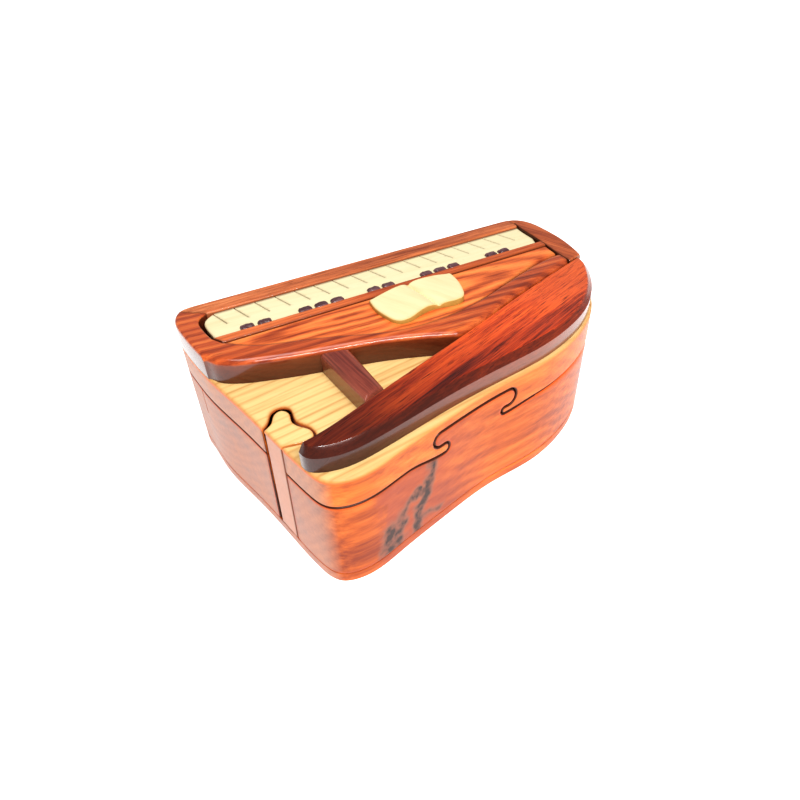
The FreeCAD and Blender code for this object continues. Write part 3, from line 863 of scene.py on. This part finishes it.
BURL_LEFT, BURL_RIGHT, BURL_TOP, BURL_GRID = -52, -20, 31, 0.55
burl_t = np.arange(on_front(BURL_LEFT), on_front(BURL_RIGHT), BURL_GRID)
burl_points = [(t, z) for z in np.arange(PLATE_TOP + 0.5, BURL_TOP, BURL_GRID) for t in burl_t]
# the slit where the saw went in to cut the hollow, glued shut
SLIT_Y, SLIT_LOW = 27.85, 22.5
slit_t = side.cross((-90, SLIT_Y), (-60, SLIT_Y), (-79, SLIT_Y))
slit = (np.array([(slit_t + LOOP, LEFT_SEAM)]), np.array([(slit_t + LOOP, SLIT_LOW)]))
slit_points = [(slit_t + LOOP + off, z) for z in np.arange(SLIT_LOW, LEFT_SEAM, 0.5)
               for off in (-0.35, 0, 0.35)]

body_seam = seam_run(0.0, START, END)
shell = Sheet([(body_seam, ease_width, lambda t, z: 0.8 * ease_width(t, z), 1.9),
               (line(body_seam[-1], (END, PLATE_TOP)), 0.5, 0.5, 1.0),
               (line((END, PLATE_TOP), (START, PLATE_TOP)), 0.3, 0.25, 0.55),
               (line((START, PLATE_TOP), body_seam[0]), 0.25, 0.2, 0.6)],
              GRID, burl_points + slit_points, slit)
piece("body_walls", "body_shell", "box", [wall_solid(shell), corner_block(PLATE_TOP, LEFT_SEAM)],
      stain=burl)

lid_seam = seam_run(KERF, START, END) + (0, REST)
lid_ring = Sheet([(lid_seam, 0.7, 0.6, 1.5),
                  (line(lid_seam[-1], (END, CORE_TOP)), 0.5, 0.5, 1.0),
                  (line((END, CORE_TOP), (START, CORE_TOP)), 0.1, 0.05),
                  (line((START, CORE_TOP), lid_seam[0]), 0.25, 0.2, 0.6)])
# the middle of the lid, cut by the same saw line from front to back
mid_line = seam(KERF) + (0, REST)
mid_left = (CAVITY[0][0] + 2.0, LEFT_SEAM + REST)
mid_right = (CAVITY[-1][0] - 2.0, RIGHT_SEAM + REST)
mid_loop = np.concatenate([line(mid_left, mid_line[0], COARSE)[:-1], mid_line,
                           line(mid_line[-1], mid_right, COARSE)[1:]])
high_left, high_right = (mid_left[0], CORE_TOP), (mid_right[0], CORE_TOP)
middle = Sheet([(run, CRISP, CRISP) for run in
                (mid_loop, line(mid_right, high_right, COARSE),
                 line(high_right, high_left, COARSE), line(high_left, mid_left, COARSE))],
               HIDDEN_GRID)
cavity_front = cavity.run(step=0.3)
cavity_front = cavity_front[np.argmin(cavity_front[:, 0]):np.argmax(cavity_front[:, 0])]


def mid_front(v, drop):
    """The middle block's front face, against the hollow's front wall."""
    y = np.interp(v[:, 0], cavity_front[:, 0], cavity_front[:, 1])
    return np.column_stack([v[:, 0], y, v[:, 1]])


def mid_back(v, drop):
    """Its back face, against the hollow's back wall."""
    return np.column_stack([v[:, 0], np.full(len(v), CAVITY_BACK), v[:, 1]])


piece("lid_walls", "lid_core", "lid",
      [wall_solid(lid_ring), corner_block(LEFT_SEAM + REST, CORE_TOP),
       (middle, mid_front, mid_back)])


def key_inside(v):
    """The key's inner outline, paired with its outer face."""
    share = (v[:, 0] - key_far_t) / (key_near_t - key_far_t)
    return key_curve.at(key_far + np.clip(share, 0, 1) * (key_near - key_far))


key_sheet = Sheet([(line((key_far_t, PLATE_TOP), (key_near_t, PLATE_TOP), 0.4), 0.3, 0.25, 0.6),
                   (line((key_near_t, PLATE_TOP), (key_near_t, CORE_TOP), 0.6), 0.35, 0.3, 0.6),
                   (line((key_near_t, CORE_TOP), (key_far_t, CORE_TOP), 0.4), 0.1, 0.05),
                   (line((key_far_t, CORE_TOP), (key_far_t, PLATE_TOP), 0.6), 0.5, 0.4, 1.0)], 0.5)
piece("key_plug", "key_core", "key", [wall_solid(key_sheet, key_inside)])

# bottom plate
plate_loop = around(np.linspace(0, LOOP, 560, endpoint=False), 2.0)
plate_loop = np.concatenate([plate_loop, plate_loop[:1]])
slab("bottom_plate", "base_plate", "box", [(plate_loop, 0.5, 0.4)], 0.0, PLATE_TOP, 5.0, sand=0.0,
     foot=1.2, wear=0.15)

# pale skin of the lid, and its piece on the key
skin_loop = around(np.linspace(START, END, 640), FACE_TOP)
slab("lid_skin", "lid_face", "lid",
     [(skin_loop, 0.9, 0.9), (hole_curve.run(hole_far, hole_near, 0.35), 0.8, 0.8)],
     CORE_TOP, FACE_TOP, 2.0, sand=0.05)
key_wall = around(np.linspace(key_far_t, key_near_t, 30), FACE_TOP)
slab("key_top", "key_face", "key",
     [(key_wall, 0.8, 0.8), (key_curve.run(key_near, key_far, 0.35), 0.5, 0.4)],
     CORE_TOP, FACE_TOP, 0.9, sand=0.05)

# ---------------------------------------------------------------- trim glued on the lid
mitre_in = RECESS_END[0]
mitre_t = side.cross(mitre_in, MITRE_OUT, (-77.3, 50.7))
cheek_curve = Curve(CHEEK_IN)
cheek_back_t = side.cross((74.2, 47), (74.2, 60), (74.2, 52.1))
cheek_rail_t = cheek_curve.cross((60, BOARD_FAR), (80, BOARD_FAR), (73.5, 44))
cheek_near_t = side.cross(CHEEK_IN[-1], CHEEK_NEAR, (76.8, 6.8))
desk_curve, band_front, band_right = Curve(DESK_EDGE), Curve(BAND_FRONT), Curve(BAND_RIGHT)
desk_end, cheek_desk_t = desk_curve.meet(cheek_curve, (69.2, 12.4))
right_end, cheek_band_t = band_right.meet(cheek_curve, (68.6, 4.8))
cheek_slip_t = cheek_curve.cross((60, DESK_FAR), (80, DESK_FAR), (70.5, 20.9))
cheek_board_t = cheek_curve.cross((60, BOARD_NEAR), (80, BOARD_NEAR), (71.2, 25.4))
band_out, band_out_s = side.meet(band_front, (-77.4, 16))
JOINT = 0.12  # half the open joint between glued pieces


def shifted(points, dx=0.0, dy=0.0):
    return np.array(points) + (dx, dy)


rail_back = np.concatenate([side.run(mitre_t, 0), line(SIDE[0], SIDE[-1])[1:],
                            side.run(WALL, cheek_back_t)[1:]])
slab("rail", "back_rail", "lid", [
    (rail_back, 1.3, 1.3),
    (shifted(np.concatenate([line(side.at(cheek_back_t)[0], CHEEK_IN[0])[:-1],
                             cheek_curve.run(0, cheek_rail_t)]), -JOINT), 0.4, 0.4, 0.9),
    (line(cheek_curve.at(cheek_rail_t)[0], mitre_in), 0.9, 0.8),
    (shifted(line(mitre_in, side.at(mitre_t)[0]), 0, JOINT), 0.2, 0.15, 0.35)],
    FACE_TOP, TRIM_TOP)

slab("cheek_right", "right_cheek", "lid", [
    (line(CHEEK_IN[-1], side.at(cheek_near_t)[0]), 0.6, 0.6),
    (side.run(cheek_near_t, cheek_back_t), 1.4, 1.4),
    (line(side.at(cheek_back_t)[0], CHEEK_IN[0]), 0.4, 0.4),
    (cheek_curve.run(), 0.5, 0.5, 0.8)], FACE_TOP, TRIM_TOP)


def groove_inset(x, y):
    """The groove between desk and band opens into a deep valley at the right."""
    return 0.6 + 2.0 * grow(x, 12, 45)


def groove_drop(x, y):
    """The depth that goes with groove_inset."""
    return 0.45 + 1.3 * grow(x, 12, 45)


slab("band", "cheek_and_band", "lid", [
    (np.concatenate([Curve(RECESS_END).run(), line(RECESS_END[-1], DESK_EDGE[0])[1:]]), 0.8, 0.7),
    (shifted(desk_curve.run(0, desk_end), 0, -JOINT), groove_inset, groove_drop, 0.6),
    (shifted(cheek_curve.run(cheek_desk_t, cheek_band_t), -JOINT), 0.4, 0.4, 0.9),
    (band_right.run(right_end, 0), 2.6, 3.0),
    (band_front.run(band_front.length, band_out_s), 2.8, 2.1),
    (side.run(band_out, mitre_t), 1.4, 1.4),
    (shifted(line(side.at(mitre_t)[0], mitre_in), 0, -JOINT), 0.2, 0.15, 0.35)],
    FACE_TOP, TRIM_TOP, 1.4)

slab("desk", "music_desk", "lid", [
    (shifted(desk_curve.run(0, desk_end), 0, JOINT), groove_inset, groove_drop, 0.6),
    (shifted(cheek_curve.run(cheek_desk_t, cheek_slip_t), -JOINT), 1.2, 1.2, 0.9),
    (shifted(line(cheek_curve.at(cheek_slip_t)[0], DESK_EDGE[0]), 0, -JOINT), 0.6, 0.5, 0.4)],
    FACE_TOP, top("music_desk"), 1.4)

slab("slip", "key_slip", "lid", [
    (shifted(line(DESK_EDGE[0], cheek_curve.at(cheek_slip_t)[0]), 0, JOINT), 0.8, 0.7, 0.4),
    (shifted(cheek_curve.run(cheek_slip_t, cheek_board_t), -JOINT), 0.4, 0.4, 0.9),
    (line(cheek_curve.at(cheek_board_t)[0], (-71.6, BOARD_NEAR)), 0.8, 0.7, 0.3),
    (line((-71.6, BOARD_NEAR), DESK_EDGE[0]), 0.4, 0.4, 0.8)],
    FACE_TOP, top("key_slip"), 1.2)

# ---------------------------------------------------------------- keyboard
WHITE_PITCH, WHITE_FIRST, WHITE_LINES = 8.0, -66.5, 17
LINE_LENGTH, LINE_SKEW = 10.2, math.radians(15.5)
BLACK_PITCH, BLACK_SQUARE, BLACK_SUNK = 6.4, 0.55, 0.4
BLACK_GROUPS = [(-58.5, 2), (-36.5, 3), (-8.4, 2), (15.1, 3), (46.6, 2)]
BLACK_SIZE = (5.2, 3.4)
BLACK_Y = 27.3
KEYS_TOP = top("keyboard")
heads = np.array([(WHITE_FIRST + i * WHITE_PITCH, BOARD_FAR + 0.1) for i in range(WHITE_LINES)])
reach = np.array((math.sin(LINE_SKEW), -math.cos(LINE_SKEW))) * LINE_LENGTH
across = np.array((math.cos(LINE_SKEW), math.sin(LINE_SKEW)))
cuts = [h + reach * k + across * off for h in heads for k in np.linspace(0, 1, 22)
        for off in (-0.32, 0, 0.32)]

cheek_line = cheek_curve.run(cheek_board_t, cheek_rail_t)
board_right = shifted(cheek_line, -0.2)
board_right[:, 0] -= 1.3 * np.clip(1 - np.abs(board_right[:, 1] - 27.0) / 4.0, 0, 1)
slab("keys", "keyboard", "lid", [
    (Curve(BOARD_LEFT).run(), 0.7, 0.6),
    (line(BOARD_LEFT[-1], board_right[0]), 0.25, 0.2),
    (board_right, 0.7, 0.6, 0.5),
    (line(board_right[-1], BOARD_LEFT[0]), 0.25, 0.2, 0.8)],
    low("keyboard"), KEYS_TOP, 1.4, cuts, sand=0.1, marks=(heads, heads + reach))

count = 0
for start, number in BLACK_GROUPS:
    for i in range(number):
        count += 1
        node_name = "black_key_%02d" % count
        cx = start + i * BLACK_PITCH
        a, b = BLACK_SIZE[0] / 2, BLACK_SIZE[1] / 2
        ring = []
        for k in range(41):
            ang = 2 * math.pi * k / 40
            c, s = math.cos(ang), math.sin(ang)
            ring.append((cx + a * math.copysign(abs(c)**BLACK_SQUARE, c),
                         BLACK_Y + b * math.copysign(abs(s)**BLACK_SQUARE, s)))

        def dome(v, z, cx=cx, n=count):
            lumps = [0.28 * noise.noise(Vector((p[0] * 0.9, p[1] * 0.9, n * 3.1))) for p in v]
            return z + np.array(lumps) - 0.22

        slab("black_pad_%02d" % count, node_name, "lid", [(ring, 1.2, 1.0)], KEYS_TOP - BLACK_SUNK,
             top(node_name), 0.45, shape=dome, sand=0.0)

# ---------------------------------------------------------------- book, prop, piano lid
FOLD = np.array([(2.6, 20.6), (4.4, 0.8)])
book_loop, book_back = Curve(BOOK), Curve(BOOK_BACK)
BOOK_TOP, DESK_TOP = top("music_book"), top("music_desk")
fold_points = [FOLD[0] + (FOLD[1] - FOLD[0]) * k + np.array((off, 0))
               for k in np.linspace(0.02, 0.98, 34) for off in (-1.0, -0.5, 0, 0.5, 1.0)]


def pages(v, z):
    """Two pages that rise from the fold and fall again to their outer edges."""
    fold_x = np.interp(v[:, 1], FOLD[::-1, 1], FOLD[::-1, 0])
    d = v[:, 0] - fold_x
    half = np.where(d > 0, 16.5, 18.5)
    k = np.clip(np.abs(d) / half, 0, 1)
    bulge = 0.9 * np.sin(np.pi * k**0.6) - 0.9
    crease = -1.1 * np.exp(-np.abs(d) / 1.1)
    thin = np.where(d < 0, -0.35 * k, -0.1 * k)
    return z + bulge * 0.8 + crease * 0.9 + thin


slab("book", "music_book", "lid", [(book_loop.run(step=0.6), 0.6, 0.45),
                                   (book_back.run(step=0.6), 0.6, 0.45)],
     DESK_TOP - 0.1, BOOK_TOP, 0.9, fold_points, pages, 0.15)

slab("prop_block", "prop", "lid", [
    (line((-43.3, -1.5), (-41.6, -31.0), 0.6), 2.6, 1.5),
    (line((-41.6, -31.0), (-33.8, -28.4), 0.6), 1.3, 2.6),
    (line((-33.8, -28.4), (-33.5, -4.0), 0.6), 2.6, 1.7),
    (line((-33.5, -4.0), (-43.3, -1.5), 0.6), 0.3, 0.3)],
    FACE_TOP, top("prop"), 1.0, sand=0.2)


def lid_inset(x, y):
    """The bevel is a crisp facet at the tip and eases towards the right end."""
    return 1.7 + 0.5 * grow(x, -30, 80)


def lid_drop(x, y):
    """The depth that goes with lid_inset."""
    return 3.0 - 0.4 * grow(x, -30, 80)


LID_TOP = top("piano_lid")
slab("open_lid", "piano_lid", "lid", [
    (Curve(LID_FAR).run(), 0.7, 0.6),
    (Curve(LID_RIGHT).run(), lid_inset, lid_drop, 0, 1)],
    FACE_TOP, LID_TOP, 1.4, sand=0.25, sharp=24)

# ---------------------------------------------------------------- camera, floor, light
TURN, TILT, ROLL = map(math.radians, (27.66, 38.0, -2.87))
CAMERA_AT = (-0.09795, -0.16024, 0.15975)
LENS_MM, SENSOR_MM, NEAR_CLIP = 27, 36, 0.01
FLOOR_REACH, FLOOR_GLOW, SKY_GLOW = 20, 0.68, 0.28
right = Vector((math.cos(TURN), -math.sin(TURN), 0))
ahead = Vector((math.sin(TURN) * math.cos(TILT), math.cos(TURN) * math.cos(TILT),
                -math.sin(TILT)))
up = right.cross(ahead)
right_r = math.cos(ROLL) * right + math.sin(ROLL) * up
up_r = math.cos(ROLL) * up - math.sin(ROLL) * right
camera = added("camera", bpy.data.cameras.new("camera"))
camera.matrix_world = Matrix((right_r, up_r, -ahead)).transposed().to_4x4()
camera.location = CAMERA_AT
camera.data.lens = LENS_MM
camera.data.sensor_width = SENSOR_MM
camera.data.clip_start = NEAR_CLIP
scene.camera = camera

floor_mesh = bpy.data.meshes.new("floor")
floor_mesh.from_pydata([(x * FLOOR_REACH, y * FLOOR_REACH, 0)
                        for x, y in ((-1, -1), (1, -1), (1, 1), (-1, 1))], [], [(0, 1, 2, 3)])
floor_paint = bpy.data.materials.new("floor")
floor_paint.use_nodes = True
floor_shader = floor_paint.node_tree.nodes["Principled BSDF"]
floor_shader.inputs["Base Color"].default_value = (0.9, 0.9, 0.9, 1)
floor_shader.inputs["Roughness"].default_value = 0.9
floor_shader.inputs["Emission Color"].default_value = (1, 1, 1, 1)
floor_shader.inputs["Emission Strength"].default_value = FLOOR_GLOW
floor_mesh.materials.append(floor_paint)
added("floor", floor_mesh)

world = bpy.data.worlds.new("studio")
scene.world = world
world.use_nodes = True
background = world.node_tree.nodes["Background"]
background.inputs["Color"].default_value = (1, 1, 1, 1)
background.inputs["Strength"].default_value = SKY_GLOW

scene.view_settings.view_transform = "Standard"
scene.view_settings.look = "Medium High Contrast"


def softbox(name, place, size, energy, aim=(0, 0, 0.03)):
    lamp = bpy.data.lights.new(name, "AREA")
    lamp.energy = energy
    lamp.shape = "RECTANGLE"
    lamp.size, lamp.size_y = size
    obj = added(name, lamp)
    obj.location = place
    obj.rotation_euler = (Vector(aim) - obj.location).to_track_quat("-Z", "Y").to_euler()


softbox("overhead", (-0.10, 0.02, 0.75), (0.35, 0.35), 1.7)
softbox("front_strip", (-0.06, -0.40, 0.50), (0.45, 0.045), 3.2)
